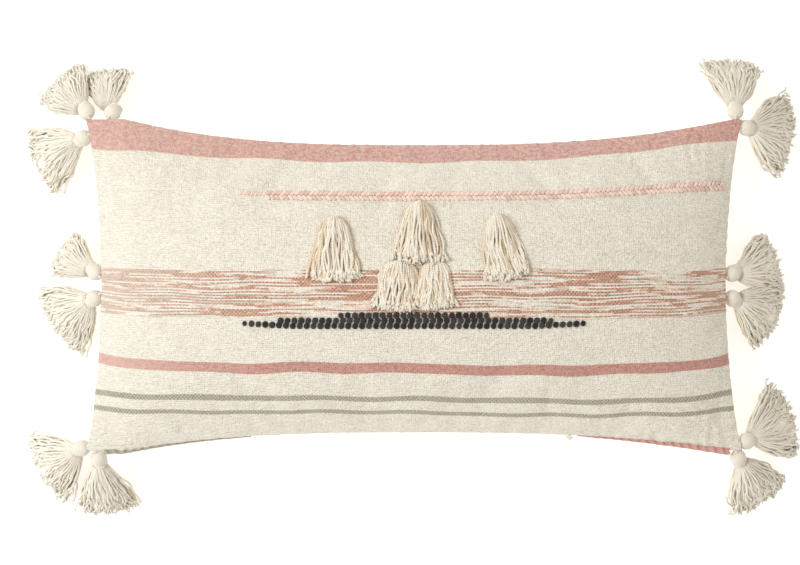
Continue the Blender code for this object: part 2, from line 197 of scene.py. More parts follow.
def welded_form(front, back):
    """Points and quads of both panels as one skin that shares the seam, and the back's point numbers."""
    rows, columns = front.shape[:2]
    inner = np.zeros((rows, columns), bool)
    inner[1:-1, 1:-1] = True
    back_index = np.arange(rows * columns).reshape(rows, columns)
    back_index[inner] = rows * columns + np.arange(inner.sum())
    points = np.concatenate([front.reshape(-1, 3), back[inner]])
    below = np.stack([
        back_index[:-1, :-1].ravel(), back_index[1:, :-1].ravel(),
        back_index[1:, 1:].ravel(), back_index[:-1, 1:].ravel(),
    ], axis=1)
    return points, np.concatenate([grid_quads(rows, columns), below]), back_index


def settle(front, back):
    """Lets the stuffed cover settle as cloth under pressure, held at its seam."""
    points, quads, back_index = welded_form(front, back)
    mesh = bpy.data.meshes.new("settling")
    mesh.from_pydata(points.tolist(), [], quads.tolist())
    skin = linked("settling", mesh)
    rows, columns = front.shape[:2]
    edge = np.ones((rows, columns), bool)
    edge[1:-1, 1:-1] = False
    held = skin.vertex_groups.new(name="seam")
    held.add(np.arange(rows * columns).reshape(rows, columns)[edge].tolist(), 1.0, "REPLACE")
    cloth = skin.modifiers.new("cloth", "CLOTH")
    for setting, value in SIM_CLOTH.items():
        setattr(cloth.settings, setting, value)
    cloth.settings.effector_weights.gravity = 0
    cloth.collision_settings.use_collision = False
    cloth.point_cache.frame_start = 1
    cloth.point_cache.frame_end = SIM_FRAMES
    scene = bpy.context.scene
    for step in range(1, SIM_FRAMES + 1):
        scene.frame_set(step)
    settled = skin.evaluated_get(bpy.context.evaluated_depsgraph_get()).to_mesh()
    moved = np.empty(len(points) * 3, np.float32)
    settled.vertices.foreach_get("co", moved)
    bpy.data.objects.remove(skin)
    scene.frame_set(1)
    moved = moved.reshape(-1, 3).astype(float)
    return moved[: rows * columns].reshape(front.shape), moved[back_index]


def capped(start, moved):
    """Where the points end when none may move more than SIM_CAP, and those at the seam hardly at all."""
    step = moved - start
    far = np.linalg.norm(step, axis=2, keepdims=True)
    free = 1 - np.exp(-np.abs(start[:, :, 2:] - SEAM_Z) / SIM_FREE_HEIGHT)
    return start + free * step * np.tanh(far / SIM_CAP) * SIM_CAP / np.maximum(far, 1e-9)


def fitted_height(points, side):
    """Brings the highest point to the frame's height, and flattens the back where it rests on the floor."""
    limit = TOP_Z if side > 0 else SEAM_Z * 2 - FLOOR_Z
    height = side * (points[:, :, 2] - SEAM_Z)
    fit = (limit - SEAM_Z) * 0.995 / height.max()
    points[:, :, 2] = SEAM_Z + side * height * (fit if side > 0 else max(fit, 1.0))
    points[:, :, 2] = np.maximum(points[:, :, 2], FLOOR_Z + FLOOR_GAP)
    return points


def doubled(grid, axis):
    """The grid with a point added between each two along an axis, on a smooth curve through them."""
    grid = np.moveaxis(grid, axis, 0)
    before = np.concatenate([2 * grid[:1] - grid[1:2], grid[:-2]])
    after = np.concatenate([grid[2:], 2 * grid[-1:] - grid[-2:-1]])
    between = (9 * (grid[:-1] + grid[1:]) - before - after) / 16
    made = np.empty((2 * len(grid) - 1, *grid.shape[1:]))
    made[::2] = grid
    made[1::2] = between
    return np.moveaxis(made, 0, axis)


def grid_normals(grid):
    along = np.gradient(grid, axis=1)
    across = np.gradient(grid, axis=0)
    normal = np.cross(along, across)
    return normal / np.maximum(np.linalg.norm(normal, axis=2, keepdims=True), 1e-12)


def finished_panel(points, side):
    """The fine outer surface of a panel, with the seam's puckers and tucked edge, and the zipper's slot."""
    fine = doubled(doubled(points, 0), 1)
    rows, columns = fine.shape[:2]
    u, v = np.meshgrid(np.linspace(-1, 1, columns), np.linspace(-1, 1, rows))
    normal = grid_normals(fine) * side
    height = side * (fine[:, :, 2] - SEAM_Z)
    near_seam = np.exp(-height / PUCKER_OUT) * (1 - np.exp(-height / PUCKER_IN))
    x, y = fine[:, :, 0], fine[:, :, 1]
    on_long = np.abs(v) > np.abs(u) ** 2
    walk = np.where(on_long, x, y)
    pucker = np.sin(walk * 2 * math.pi / PUCKER_PITCH + 3 * ripple(x, y, 0.06, 21))
    pucker = pucker * (0.6 + 0.4 * ripple(x, y, 0.05, 22))
    uneven = UNEVEN_DEPTH * ripple(x, 3 * y, UNEVEN_WAVE, 23 + side) * np.minimum(1, height / 0.01)
    fine = fine + normal * (PUCKER_DEPTH * pucker * near_seam + uneven)[:, :, None]
    edge = np.zeros((rows, columns), bool)
    edge[[0, -1], :] = True
    edge[:, [0, -1]] = True
    fine[edge, 0] -= np.sign(fine[edge, 0]) * SEAM_TUCK * (np.abs(u[edge]) > AT_EDGE)
    fine[edge, 1] -= np.sign(fine[edge, 1]) * SEAM_TUCK * (np.abs(v[edge]) > AT_EDGE)
    gap = np.full((rows, columns), SEAM_GAP / 2)
    in_slot = (v < -AT_EDGE) & (np.abs(x) < ZIP_END)
    gap[in_slot] = ZIP_SLOT / 2
    lifted = np.maximum(side * (fine[:, :, 2] - SEAM_Z), gap)
    lifted[edge] = gap[edge]
    fine[:, :, 2] = np.maximum(SEAM_Z + side * lifted, FLOOR_Z + FLOOR_GAP)
    return fine


front_start, back_start = start_form(1), start_form(-1)
front_form, back_form = settle(front_start, back_start)
front_form, back_form = capped(front_start, front_form), capped(back_start, back_form)
front_form, back_form = fitted_height(front_form, 1), fitted_height(back_form, -1)
front_skin, back_skin = finished_panel(front_form, 1), finished_panel(back_form, -1)


# The cloth's own coordinates

# A weft thread's height at the middle of the face, and how much higher it ends at the side seams
BOWS = (
    (-0.139, -0.017), (-0.118, 0.0020), (-0.102, 0.0045), (-0.076, 0.0092), (-0.030, 0.006),
    (0.014, 0.0035), (0.081, 0.0100), (0.111, 0.0143), (0.1315, 0.024),
)
BOW_HEIGHTS, BOW_RISES = zip(*BOWS)
LOWER_SAG = 0.0036
RIGHT_LIFT = 0.0068
THREAD_WANDER = 0.0007
THREAD_WAVE = 0.08


def thread_y(t, x):
    """Y of the weft thread `t` at X, seen from above."""
    share = np.clip(np.abs(x) / HALF_X, 0, 1)
    power = np.interp(t, (0.02, 0.08), (6.0, 2.5))
    rise = np.interp(t, BOW_HEIGHTS, BOW_RISES) * share ** power
    towards_end = 0.5 + 0.5 * np.tanh((x / HALF_X - 0.62) / 0.22)
    right_half = 0.5 + 0.5 * np.tanh((x / HALF_X - 0.15) / 0.25)
    lift = RIGHT_LIFT * np.clip((t - 0.05) / 0.06, 0, 1) * towards_end
    slack = LOWER_SAG * np.clip(-t / 0.1, 0, 1) * (1 - share ** 6)
    return t + rise + lift - slack * right_half


def thread_at(x, y):
    """The weft thread at (X, Y): the inverse of thread_y."""
    t = np.array(y, float)
    for _ in range(60):
        t = t + 0.4 * (y - thread_y(t, x))
    return t


def arc_lengths(grid, axis):
    """Distance along the cloth from its middle line, along an axis of the grid."""
    steps = np.linalg.norm(np.diff(grid, axis=axis), axis=2)
    pad = [(0, 0), (0, 0)]
    pad[axis] = (1, 0)
    total = np.cumsum(np.pad(steps, pad), axis=axis)
    return total - np.take(total, [grid.shape[axis] // 2], axis=axis)


def cloth_values(grid):
    """For each point: distance along the weft, distance along the warp, and the weft thread's height."""
    x, y = grid[:, :, 0], grid[:, :, 1]
    thread = thread_at(x, y) + THREAD_WANDER * ripple(x, 2 * y, THREAD_WAVE, 31)
    return np.stack([arc_lengths(grid, 1), arc_lengths(grid, 0), thread], axis=2)


# Materials


def srgb(red, green, blue):
    """A linear colour from the numbers, 0 to 255, that a screen shows."""
    shown = [value / 255 for value in (red, green, blue)]
    linear = [c / 12.92 if c <= 0.04045 else ((c + 0.055) / 1.055) ** 2.4 for c in shown]
    return (*linear, 1.0)


class Finish:
    """A node material under construction. Its methods return sockets."""

    def __init__(self, name, roughness=0.9, sheen=0.0):
        self.material = bpy.data.materials.new(name)
        self.material.use_nodes = True
        self.tree = self.material.node_tree
        self.shader = self.tree.nodes["Principled BSDF"]
        self.set("Roughness", roughness)
        self.set("Sheen Weight", sheen)

    def feed(self, socket, value):
        if isinstance(value, bpy.types.NodeSocket):
            self.tree.links.new(value, socket)
        else:
            socket.default_value = value

    def set(self, name, value):
        self.feed(self.shader.inputs[name], value)

    def node(self, kind, inputs=(), **settings):
        made = self.tree.nodes.new("ShaderNode" + kind)
        for key, value in settings.items():
            setattr(made, key, value)
        for key, value in dict(inputs).items():
            self.feed(made.inputs[key], value)
        return made

    def math(self, operation, first, second=0.0, third=0.0):
        return self.node("Math", {0: first, 1: second, 2: third}, operation=operation).outputs[0]

    def plus(self, first, second):
        return self.math("ADD", first, second)

    def times(self, first, second):
        return self.math("MULTIPLY", first, second)

    def wave(self, value, period, phase=0.0):
        turned = self.math("MULTIPLY_ADD", value, 2 * math.pi / period, phase)
        return self.math("SINE", turned)

    def step(self, value, low, high, to_low=0.0, to_high=1.0):
        """A smooth step from to_low to to_high between the two values."""
        made = self.node("MapRange", {"Value": value, 1: low, 2: high, 3: to_low, 4: to_high})
        made.interpolation_type = "SMOOTHSTEP"
        return made.outputs[0]

    def around_half(self, value, amount):
        """How far a value lies from a half, times an amount."""
        return self.times(self.plus(value, -0.5), amount)

    def mix(self, factor, first, second):
        made = self.node("Mix", data_type="RGBA", blend_type="MIX")
        for index, value in ((0, factor), (6, first), (7, second)):
            self.feed(made.inputs[index], value)
        return made.outputs[2]

    def between(self, value, first, second, low=0.3, high=0.7):
        """The first colour where the value is low, and the second where it is high."""
        return self.mix(self.step(value, low, high), first, second)

    def darkened(self, value, colour, deep, low, high, share):
        """The colour with a share of a deeper one where the value is low."""
        return self.mix(self.step(value, low, high, share, 0.0), colour, deep)

    def lightened(self, value, colour, light, low, high, share):
        """The colour with a share of a lighter one where the value is high."""
        return self.mix(self.step(value, low, high, 0.0, share), colour, light)

    def set_roughness(self, value, low, high):
        self.set("Roughness", self.step(value, 0.3, 0.7, low, high))

    def vector(self, x=0.0, y=0.0, z=0.0):
        return self.node("CombineXYZ", {0: x, 1: y, 2: z}).outputs[0]

    def attribute(self, name):
        """The three numbers of a vector attribute."""
        found = self.node("Attribute", attribute_name=name)
        parts = self.node("SeparateXYZ", {0: found.outputs["Vector"]})
        return parts.outputs[0], parts.outputs[1], parts.outputs[2]

    def noise(self, vector, scale=1.0, detail=2.0, roughness=0.5):
        inputs = {"Vector": vector, "Scale": scale, "Detail": detail, "Roughness": roughness}
        return self.node("TexNoise", inputs).outputs["Fac"]

    def object_place(self):
        return self.node("TexCoord").outputs["Object"]

    def ramp(self, value, stops):
        made = self.node("ValToRGB", {0: value})
        ramp = made.color_ramp
        while len(ramp.elements) < len(stops):
            ramp.elements.new(0.5)
        for element, (place, colour) in zip(ramp.elements, stops):
            element.position = place
            element.color = colour
        return made.outputs[0]

    def bump(self, height, distance, strength=1.0, normal=None):
        made = self.node("Bump", {"Height": height, "Distance": distance, "Strength": strength})
        if normal is not None:
            self.feed(made.inputs["Normal"], normal)
        return made.outputs[0]


CREAM_LIGHT = srgb(252, 247, 236)
CREAM = srgb(243, 235, 218)
# The deeper cream below is painted shade for the cloth's relief.
CREAM_SHADE = srgb(216, 203, 176)
ROSE = srgb(206, 145, 130)
ROSE_DEEP = srgb(181, 108, 95)
ROSE_LIGHT = srgb(238, 203, 189)
RUST = srgb(173, 98, 66)
BRICK = srgb(202, 133, 104)
PEACH = srgb(236, 193, 165)
STONE = srgb(210, 194, 173)
GREY = srgb(142, 135, 116)

WARP_PITCH = 0.00170
WEFT_PITCH = 0.00180
DYED_PITCH = 0.00135
WEAVE_RELIEF = 0.0018
THREAD_SWAY = 0.0030

# The woven stripes of the face, as heights at its middle
ROSE_FROM = 0.1136
STRIPE_EDGE = 0.0005
DYED_LOW, DYED_HIGH = -0.0300, 0.0140
NARROW_ROSE_LOW, NARROW_ROSE_HIGH = -0.0800, -0.0705
GREY_STRIPES = ((-0.1062, -0.1012), (-0.1190, -0.1152))


def weave(finish, along, across):
    """The sockets that describe a plain weave of uneven hand-spun threads."""
    cell = finish.vector(along, across)
    sway = finish.around_half(finish.noise(cell, 120.0, 2.0), THREAD_SWAY)
    warp = finish.wave(finish.plus(along, sway), 2 * WARP_PITCH)
    weft = finish.wave(finish.plus(across, sway), 2 * WEFT_PITCH)
    crossing = finish.times(warp, weft)
    ribs = finish.plus(
        finish.times(finish.math("ABSOLUTE", weft), 0.65), finish.times(finish.math("ABSOLUTE", warp), 0.35))
    hill = finish.math("POWER", ribs, 1.3)
    slub = finish.noise(finish.vector(finish.times(along, 150.0), finish.times(across, 480.0)), 1.0, 2.0, 0.6)
    grain = finish.noise(cell, 360.0, 2.0, 0.6)
    return {
        "weft_on_top": finish.step(crossing, -0.35, 0.35), "hill": hill, "slub": slub, "grain": grain,
        "height": finish.plus(finish.times(hill, 0.35), finish.plus(slub, finish.times(grain, 1.2))),
    }


def cream_cloth(finish, along, across, threads):
    """The undyed cotton's colour, paler in random blotches, with painted light and shade on its relief: paler
    raised slubs as a painted highlight, and deeper cream as painted shade in the low grain and between its
    threads.
    """
    blotch = finish.noise(finish.vector(finish.times(along, 0.5), across), 90.0, 3.0, 0.6)
    base = finish.between(blotch, CREAM, finish.mix(0.6, CREAM, CREAM_LIGHT))
    # Painted highlight on the raised slubs, then painted shade in the low grain and between the threads, all
    # following the weave's relief.
    base = finish.lightened(threads["slub"], base, CREAM_LIGHT, 0.48, 0.72, 0.75)
    base = finish.darkened(threads["grain"], base, CREAM_SHADE, 0.32, 0.55, 0.28)
    return finish.darkened(threads["hill"], base, CREAM_SHADE, 0.1, 0.7, 0.34)


def band(finish, thread, low, high, soft=STRIPE_EDGE):
    """1 between two weft threads and 0 outside them."""
    above = finish.step(thread, low - soft, low + soft)
    below = finish.step(thread, high - soft, high + soft, 1.0, 0.0)
    return finish.times(above, below)


def dyed_yarn(finish, along, thread):
    """The space-dyed weft: each thread changes colour along its length, out of step with its neighbours."""
    row = finish.math("FLOOR", finish.times(thread, 1 / DYED_PITCH))
    place = finish.vector(finish.times(along, 12.0), finish.times(row, 5.37), finish.times(row, 1.71))
    dye = finish.noise(place, 1.0, 2.5, 0.55)
    dashes = finish.noise(finish.vector(finish.times(along, 170.0), finish.times(row, 3.3)), 1.0, 1.0)
    patch = finish.noise(finish.vector(finish.times(along, 4.0), finish.times(thread, 60.0)), 1.0, 1.0)
    other = finish.math("PINGPONG", row, 1.0)
    for variation, amount in ((dashes, 0.16), (patch, 0.12), (other, 0.10)):
        dye = finish.plus(dye, finish.around_half(variation, amount))
    return finish.ramp(dye, (
        (0.33, STONE), (0.38, CREAM_LIGHT), (0.46, CREAM), (0.50, PEACH),
        (0.53, RUST), (0.60, BRICK), (0.68, RUST),
    ))


def rose_yarn_colour(finish, along, thread, dots):
    """The rose weft's heathered colour."""
    place = finish.vector(finish.times(along, 260.0), finish.times(thread, 420.0))
    fleck = finish.noise(place, 1.0, 3.0, 0.65)
    rose = finish.between(fleck, ROSE_DEEP, ROSE_LIGHT, 0.34, 0.64)
    rose = finish.mix(0.45, rose, ROSE)
    return finish.mix(finish.plus(finish.times(dots, 0.30), 0.62), ROSE_LIGHT, rose)


def striped_colour(finish, undyed, along, thread, dots):
    """The woven stripes over the undyed cloth, paler towards the left end."""
    # The share named worn only pales the stripes towards the left end.
    worn = finish.step(along, -HALF_X * 1.1, -HALF_X * 0.3, 0.55, 0.0)
    rose = rose_yarn_colour(finish, along, thread, dots)
    wide = finish.step(thread, ROSE_FROM - STRIPE_EDGE, ROSE_FROM + STRIPE_EDGE)
    colour = finish.mix(wide, undyed, finish.mix(finish.times(worn, 0.5), rose, ROSE_LIGHT))
    narrow = band(finish, thread, NARROW_ROSE_LOW, NARROW_ROSE_HIGH)
    deeper = finish.mix(0.36, rose, ROSE_DEEP)
    colour = finish.mix(narrow, colour, finish.mix(worn, deeper, ROSE_LIGHT))
    # Painted shade: each dyed row darkens towards STONE at its edges, where it meets the next row.
    rib = finish.math("ABSOLUTE", finish.wave(thread, 2 * DYED_PITCH))
    dyed = finish.darkened(rib, dyed_yarn(finish, along, thread), STONE, 0.05, 0.6, 0.30)
    dyed = finish.mix(finish.plus(finish.times(dots, 0.36), 0.62), undyed, dyed)
    unworn = finish.plus(1.0, finish.times(worn, -0.8))
    colour = finish.mix(finish.times(band(finish, thread, DYED_LOW, DYED_HIGH), unworn), colour, dyed)
    grey = finish.mix(finish.plus(finish.times(dots, 0.40), 0.50), undyed, GREY)
    for low, high in GREY_STRIPES:
        colour = finish.mix(band(finish, thread, low, high), colour, grey)
    return colour


def cover_material(name, striped):
    finish = Finish(name, 0.92, 0.25)
    along, across, thread = finish.attribute("cloth")
    threads = weave(finish, along, across)
    colour = cream_cloth(finish, along, across, threads)
    if striped:
        colour = striped_colour(finish, colour, along, thread, threads["weft_on_top"])
    finish.set("Base Color", colour)
    fine = finish.noise(finish.object_place(), 2600.0, 2.0)
    rough = finish.bump(fine, 0.0002, 0.35)
    finish.set("Normal", finish.bump(threads["height"], WEAVE_RELIEF, 0.9, rough))
    finish.set_roughness(threads["slub"], 0.84, 0.97)
    return finish.material


YARN_ROUGHNESS = 0.88


def yarn_material(name, light, deep, twist=0.0022, relief=0.0004, sheen=0.25):
    """Twisted cotton yarn. Its pieces carry the place along each strand, the turn round it, and a value that
    picks between the deep and the light colour: painted shade on some pieces, plain tone on others.
    """
    finish = Finish(name, YARN_ROUGHNESS, sheen)
    along, turn, shade_and_tone = finish.attribute("yarn")
    ply = finish.wave(finish.plus(finish.times(along, 1 / twist), finish.times(turn, 2.0)), 1.0)
    blotch = finish.noise(finish.object_place(), 160.0, 3.0, 0.6)
    fibre = finish.noise(finish.vector(finish.times(along, 300.0), finish.times(turn, 9.0), shade_and_tone), 1.0, 3.0)
    shade = finish.plus(finish.times(shade_and_tone, 0.75), finish.times(blotch, 0.25))
    colour = finish.between(shade, deep, light, 0.05, 0.65)
    # Painted shade in the grooves between the plies of the twist.
    colour = finish.darkened(ply, colour, deep, -1.0, 0.1, 0.35)
    colour = finish.lightened(fibre, colour, light, 0.5, 0.7, 0.25)
    finish.set("Base Color", colour)
    height = finish.plus(finish.times(ply, 0.5), finish.times(fibre, 0.6))
    finish.set("Normal", finish.bump(height, relief, 0.8))
    finish.set_roughness(fibre, YARN_ROUGHNESS - 0.06, YARN_ROUGHNESS + 0.08)
    return finish.material


def plain_cloth_material(name, light, deep, scale):
    """A close plain weave read from the piece's own place, for the insert and the zipper's tapes."""
    finish = Finish(name, 0.9, 0.15)
    place = finish.object_place()
    parts = finish.node("SeparateXYZ", {0: place})
    warp = finish.wave(parts.outputs[0], scale)
    weft = finish.wave(parts.outputs[1], scale)
    crossing = finish.times(warp, weft)
    blotch = finish.noise(place, 60.0, 4.0, 0.6)
    colour = finish.between(blotch, deep, light)
    finish.set("Base Color", finish.darkened(crossing, colour, deep, -0.5, 0.5, 0.2))
    finish.set("Normal", finish.bump(crossing, 0.0003, 0.6))
    finish.set_roughness(blotch, 0.86, 0.95)
    return finish.material


def fill_material():
    """White polyester fibre: cloudy, with fine strands."""
    finish = Finish("fibre_white", 0.8, 0.4)
    place = finish.object_place()
    cloud = finish.noise(place, 45.0, 6.0, 0.65)
    drawn_out = finish.node("VectorMath", {0: place, 1: (900, 260, 900)}, operation="MULTIPLY")
    strands = finish.noise(drawn_out.outputs[0])
    colour = finish.between(cloud, srgb(226, 225, 220), srgb(247, 247, 244))
    colour = finish.mix(finish.step(strands, 0.5, 0.7, 0.0, 0.3), colour, srgb(214, 213, 208))
    finish.set("Base Color", colour)
    finish.set("Normal", finish.bump(finish.plus(cloud, finish.times(strands, 0.3)), 0.003, 0.8))
    finish.set_roughness(cloud, 0.75, 0.95)
    return finish.material


def painted_metal_material():
    """Cream enamel on die-cast metal, worn to the metal at a few specks."""
    finish = Finish("cream_enamel", 0.35)
    place = finish.object_place()
    worn = finish.step(finish.noise(place, 900.0, 4.0, 0.7), 0.66, 0.72)
    tone = finish.noise(place, 300.0, 2.0)
    enamel = finish.between(tone, srgb(222, 211, 190), srgb(236, 227, 209))
    finish.set("Base Color", finish.mix(worn, enamel, srgb(150, 146, 138)))
    finish.set("Metallic", worn)
    finish.set_roughness(tone, 0.28, 0.42)
    finish.set("Coat Weight", 0.3)
    finish.set("Normal", finish.bump(tone, 0.0001, 0.5))
    return finish.material


# Pieces


def add_piece(name, points, faces, material, body, stands_for, slot, values=None, attribute="yarn"):
    """A mesh piece that rides on a body and stands for CAD nodes. `values` are three numbers a point."""
    mesh = bpy.data.meshes.new(name)
    mesh.from_pydata(np.asarray(points).tolist(), [], [list(face) for face in faces])
    mesh.shade_smooth()
    if values is not None:
        layer = mesh.attributes.new(attribute, "FLOAT_VECTOR", "POINT")
        layer.data.foreach_set("vector", np.asarray(values, np.float32).ravel())
    mesh.materials.append(material)
    piece = linked(name, mesh)
    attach(piece, body)
    if stands_for:
        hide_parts(*stands_for)
    return piece


def rim_index(rows, columns):
    """Point numbers round the edge of a grid, in order."""
    index = np.arange(rows * columns).reshape(rows, columns)
    return np.concatenate([index[0, :-1], index[:-1, -1], index[-1, :0:-1], index[:0:-1, 0]])


def shell(outer, inner, side):
    """Points and faces of the closed shell between two grids. `side` is 1 where the outer grid faces up."""
    rows, columns = outer.shape[:2]
    count = rows * columns
    quads = grid_quads(rows, columns)
    rim = rim_index(rows, columns)
    following = np.roll(rim, -1)
    band_quads = np.stack([rim, rim + count, following + count, following], axis=1)
    faces = np.concatenate([quads, quads[:, ::-1] + count, band_quads])
    points = np.concatenate([outer.reshape(-1, 3), inner.reshape(-1, 3)])
    return points, faces if side > 0 else faces[:, ::-1]


def inner_grid(outer, side, thickness):
    """The shell's inner surface. Its rim stays level with the outer one's."""
    inner = outer - grid_normals(outer) * side * thickness
    for rim in ((0, slice(None)), (-1, slice(None)), (slice(None), 0), (slice(None), -1)):
        inner[rim][..., 2] = outer[rim][..., 2]
    inner[:, :, 2] = SEAM_Z + side * np.maximum(side * (inner[:, :, 2] - SEAM_Z), SEAM_GAP / 2)
    return inner


def make_cover():
    covers = (
        ("front_cover", front_skin, 1, "front_panel", cover_material("striped_cotton", True)),
        ("back_cover", back_skin, -1, "back_panel", cover_material("plain_cotton", False)),
    )
    for name, skin, side, node, material in covers:
        outer_values = cloth_values(skin)
        points, faces = shell(skin, inner_grid(skin, side, COVER_CLOTH), side)
        values = np.concatenate([outer_values.reshape(-1, 3)] * 2)
        piece = add_piece(name, points, faces, material, "pillow", [node], node, values, "cloth")


CASING_CLOTH = 0.0005
INSERT_SLACK = 0.003
FILL_DIP = 0.0012
FILL_LUMPS = 0.0008


def shrunk(grid, node, side):
    """A settled form scaled into the space of a CAD node."""
    low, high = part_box(node)
    scale_x = min(-low.x, high.x) / HALF_X
    scale_y = min(-low.y, high.y) / HALF_Y
    reach = high.z - SEAM_Z if side > 0 else SEAM_Z - low.z
    height = side * (grid[:, :, 2] - SEAM_Z)
    made = grid * (scale_x, scale_y, 1.0)
    made[:, :, 2] = SEAM_Z + side * height * (reach - INSERT_SLACK) / height.max()
    return made


def make_insert():
    calico = plain_cloth_material("calico", srgb(240, 237, 228), srgb(214, 208, 194), 0.0012)
    nodes = (("insert_casing_front", front_form, 1), ("insert_casing_back", back_form, -1))
    for node, form, side in nodes:
        outer = shrunk(form, node, side)
        outer[:, :, 2] = SEAM_Z + side * np.maximum(side * (outer[:, :, 2] - SEAM_Z), SEAM_GAP / 2)
        inner = inner_grid(outer, side, CASING_CLOTH)
        points, faces = shell(outer, inner, side)
        name = "insert_front" if side > 0 else "insert_back"
        piece = add_piece(name, points, faces, calico, "pillow", [node], "casing_cloth")
    make_fill()


def make_fill():
    """The fibre fill: one closed lumpy body inside the casing."""
    halves = []
    for form, side in ((front_form, 1), (back_form, -1)):
        half = shrunk(form, "fibre_fill", side)
        x, y = half[:, :, 0], half[:, :, 1]
        height = side * (half[:, :, 2] - SEAM_Z)
        lumps = FILL_LUMPS * ripple(x, y, 0.03, 41 + side) * np.minimum(1, height / 0.02)
        half[:, :, 2] = SEAM_Z + side * (height - FILL_DIP * np.minimum(1, height / 0.01) + lumps)
        halves.append(half)
    points, quads, _ = welded_form(*halves)
    fill = add_piece(
        "fibre_fill_body", points, quads, fill_material(), "pillow", ["fibre_fill"], "fibre_fill")


# Yarn


def unit(vectors):
    return vectors / np.maximum(np.linalg.norm(vectors, axis=-1, keepdims=True), 1e-12)


def tube_faces(rings, sides):
    """Quads and end caps between rings of points that follow one another."""
    index = np.arange(rings * sides).reshape(rings, sides)
    following = np.roll(index, -1, axis=1)
    quads = np.stack([index[:-1], following[:-1], following[1:], index[1:]], axis=2).reshape(-1, 4)
    return [*quads.tolist(), index[0][::-1].tolist(), index[-1].tolist()]


def repeated(faces, copies, points_each):
    """The same faces for several copies of one set of points."""
    return [[index + copy * points_each for index in face] for copy in range(copies) for face in faces]


def tubes(paths, radii, sides, reference, shades_and_tones):
    """Points, faces and yarn values of round strands.

    `paths` is strands x steps x 3, and `radii` is strands x steps.
    """
    strands, steps = radii.shape
    tangent = unit(np.gradient(paths, axis=1))
    first = unit(reference - (tangent @ reference)[:, :, None] * tangent)
    second = np.cross(tangent, first)
    turn = np.arange(sides) / sides
    spin = 2 * math.pi * turn
    ring = first[:, :, None] * np.cos(spin)[:, None] + second[:, :, None] * np.sin(spin)[:, None]
    points = paths[:, :, None] + ring * radii[:, :, None, None]
    steps_long = np.linalg.norm(np.diff(paths, axis=1), axis=2)
    along = np.concatenate([np.zeros((strands, 1)), np.cumsum(steps_long, axis=1)], axis=1)
    shape = (strands, steps, sides)
    values = np.stack([
        np.broadcast_to(along[:, :, None], shape), np.broadcast_to(turn, shape),
        np.broadcast_to(shades_and_tones[:, None, None], shape),
    ], axis=3)
    faces = repeated(tube_faces(steps, sides), strands, steps * sides)
    return points.reshape(-1, 3), faces, values.reshape(-1, 3)


def joined(parts):
    """Several (points, faces, values) as one."""
    points, faces, values, first = [], [], [], 0
    for part_points, part_faces, part_values in parts:
        points.append(part_points)
        values.append(part_values)
        faces += [[index + first for index in face] for face in part_faces]
        first += len(part_points)
    return np.concatenate(points), faces, np.concatenate(values)


def even_disc(count):
    """Points spread evenly over a unit disc."""
    k = np.arange(count)
    radius = np.sqrt((k + 0.5) / count)
    turn = k * 2 * math.pi * GOLDEN
    return radius * np.cos(turn), radius * np.sin(turn)


def frayed(paths, radius, fibres, length, draw, reference, floor_of):
    """Soft unspun cotton that spreads from the end of each strand."""
    strands = len(paths)
    tip = np.repeat(paths[:, -2], fibres, axis=0)
    heading = np.repeat(unit(paths[:, -1] - paths[:, -3]), fibres, axis=0)
    spread = unit(heading + 0.38 * draw.normal(size=heading.shape) + np.array((0, 0, 0.30)))
    reach = length * draw.uniform(0.5, 1.0, strands * fibres)
    share = np.linspace(0, 1, 5)
    ease = share ** 1.3
    growth = heading[:, None] * (share - ease)[:, None] + spread[:, None] * ease[:, None]
    lines = tip[:, None] + growth * reach[:, None, None]
    lowest = floor_of(lines[:, :, 0], lines[:, :, 1]) + radius * 1.15
    lines[:, :, 2] = np.maximum(lines[:, :, 2], lowest)
    radii = np.broadcast_to(radius * (0.75 + 0.30 * np.sin(math.pi * share) - 0.55 * share), lines.shape[:2])
    return tubes(lines, radii, 5, reference, draw.uniform(0.9, 1.1, len(lines)))


# Tassels

STRANDS = 210
STRAND_RADIUS = 0.00094
STRAND_STEPS = 17
CLUMPS = 13
NECK_RADIUS = 0.0058
SKIRT_ARCH = 0.0030
SKIRT_PUFF = 0.0085
USUAL_FAN = 25
CORE_SHARE = 0.79
CORE_SIDES = 28
CORE_TINT = 0.70
LOCK_SHARE = 0.35
STRAND_SWAY = 0.30
STRAND_CRINKLE = 0.36
STRAND_STRAY = 0.09
SKIRT_FRAY = {"radius": 0.00125, "fibres": 2, "length": 0.0050}
HEAD_RINGS = 64
HEAD_SIDES = 36
WINDING_PITCH = 0.00150
WINDING_TILT = 0.0024
WINDING_RELIEF = 0.00060
NECK_TURNS = 0.0034
CORD_RADIUS = 0.0012
CORD_PITCH = 0.0032

# How each skirt lies: degrees that it turns from its hinge's heading, the lean of its outermost strands, and
# its length as a share of the frame's
LIE = {
    "tassel_top_left_up": (16, 25, 1.00), "tassel_top_left_side": (-4, 25, 1.20),
    "tassel_top_left_back": (38, 19, 1.10),
    "tassel_left_upper": (10, 21, 0.90), "tassel_left_lower": (-4, 34, 1.02),
    "tassel_bottom_left_side": (6, 31, 1.08), "tassel_bottom_left_down": (-9, 20, 1.18),
    "tassel_top_right_up": (1, 21, 1.14), "tassel_top_right_side": (2, 38, 1.06),
    "tassel_right_upper": (-16, 25, 1.04), "tassel_right_lower": (8, 29, 1.06),
    "tassel_bottom_right_side": (8, 31, 1.12), "tassel_bottom_right_down": (9, 24, 1.19),
}

# How far the cover's edge reaches beyond the frame's where a tassel hangs from it
OUTSET = {"tassel_top_left_back": 0.0035}


def hanging_frame(joint):
    """The anchor, and the unit directions outward and sideways, of a piece that hangs from a hinge."""
    axis = np.array(joint["axis"], float)
    outward = np.array([-axis[1], axis[0], 0.0])
    sideways = np.array([-axis[0], -axis[1], 0.0])
    return np.array(joint["pos_m"], float), outward, sideways


